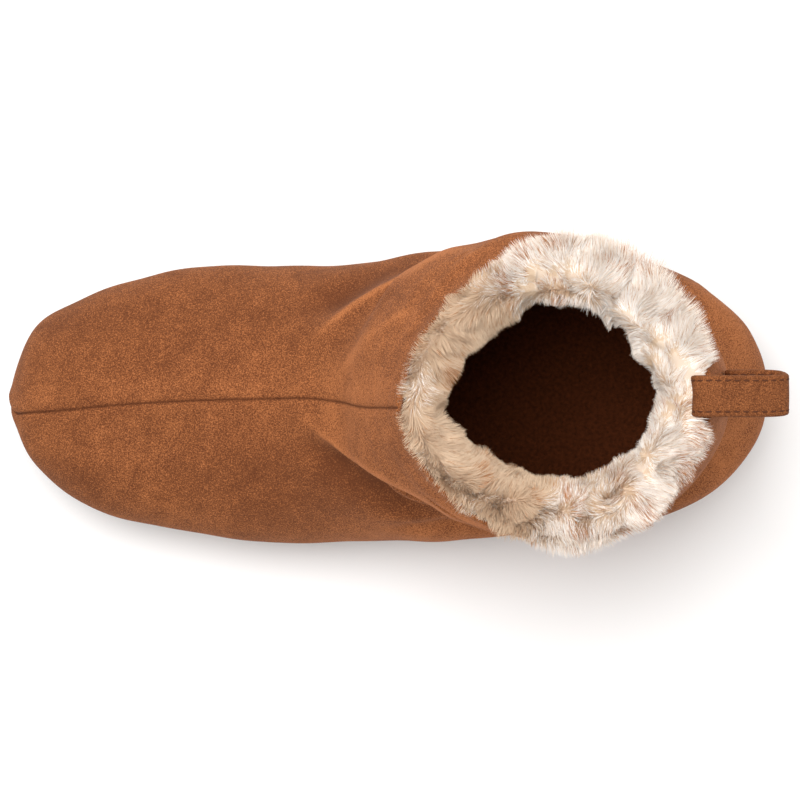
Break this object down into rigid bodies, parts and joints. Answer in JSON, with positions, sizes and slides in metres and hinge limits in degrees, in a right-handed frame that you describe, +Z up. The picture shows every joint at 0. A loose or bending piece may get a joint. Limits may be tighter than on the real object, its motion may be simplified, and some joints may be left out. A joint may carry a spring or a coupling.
{
  "type": "bootie slipper",
  "caption": "Pull-on bootie slipper for the left foot: tan suede upper with a centre seam, deep cream fur collar, pull loop at the back and a rubber sole.",
  "frame": {"origin": "on the floor under the middle of the heel", "axes": "+X towards the heel's back, so the toe points to -X; +Y towards the inner side of the foot; +Z up"},
  "size_m": [0.2646, 0.1041, 0.1429],
  "materials": {
    "sole": "matte brown rubber",
    "footbed": "brown plush over foam",
    "suede": "tan microsuede with a short nap",
    "fur": "cream faux fur with tan tips",
    "loop": "tan suede strap, stitched"
  },
  "bodies": {
    "root": {"outsole": "sole", "insole": "footbed", "upper": "suede", "fur_cuff": "fur", "pull_loop": "loop"}
  },
  "joints": []
}
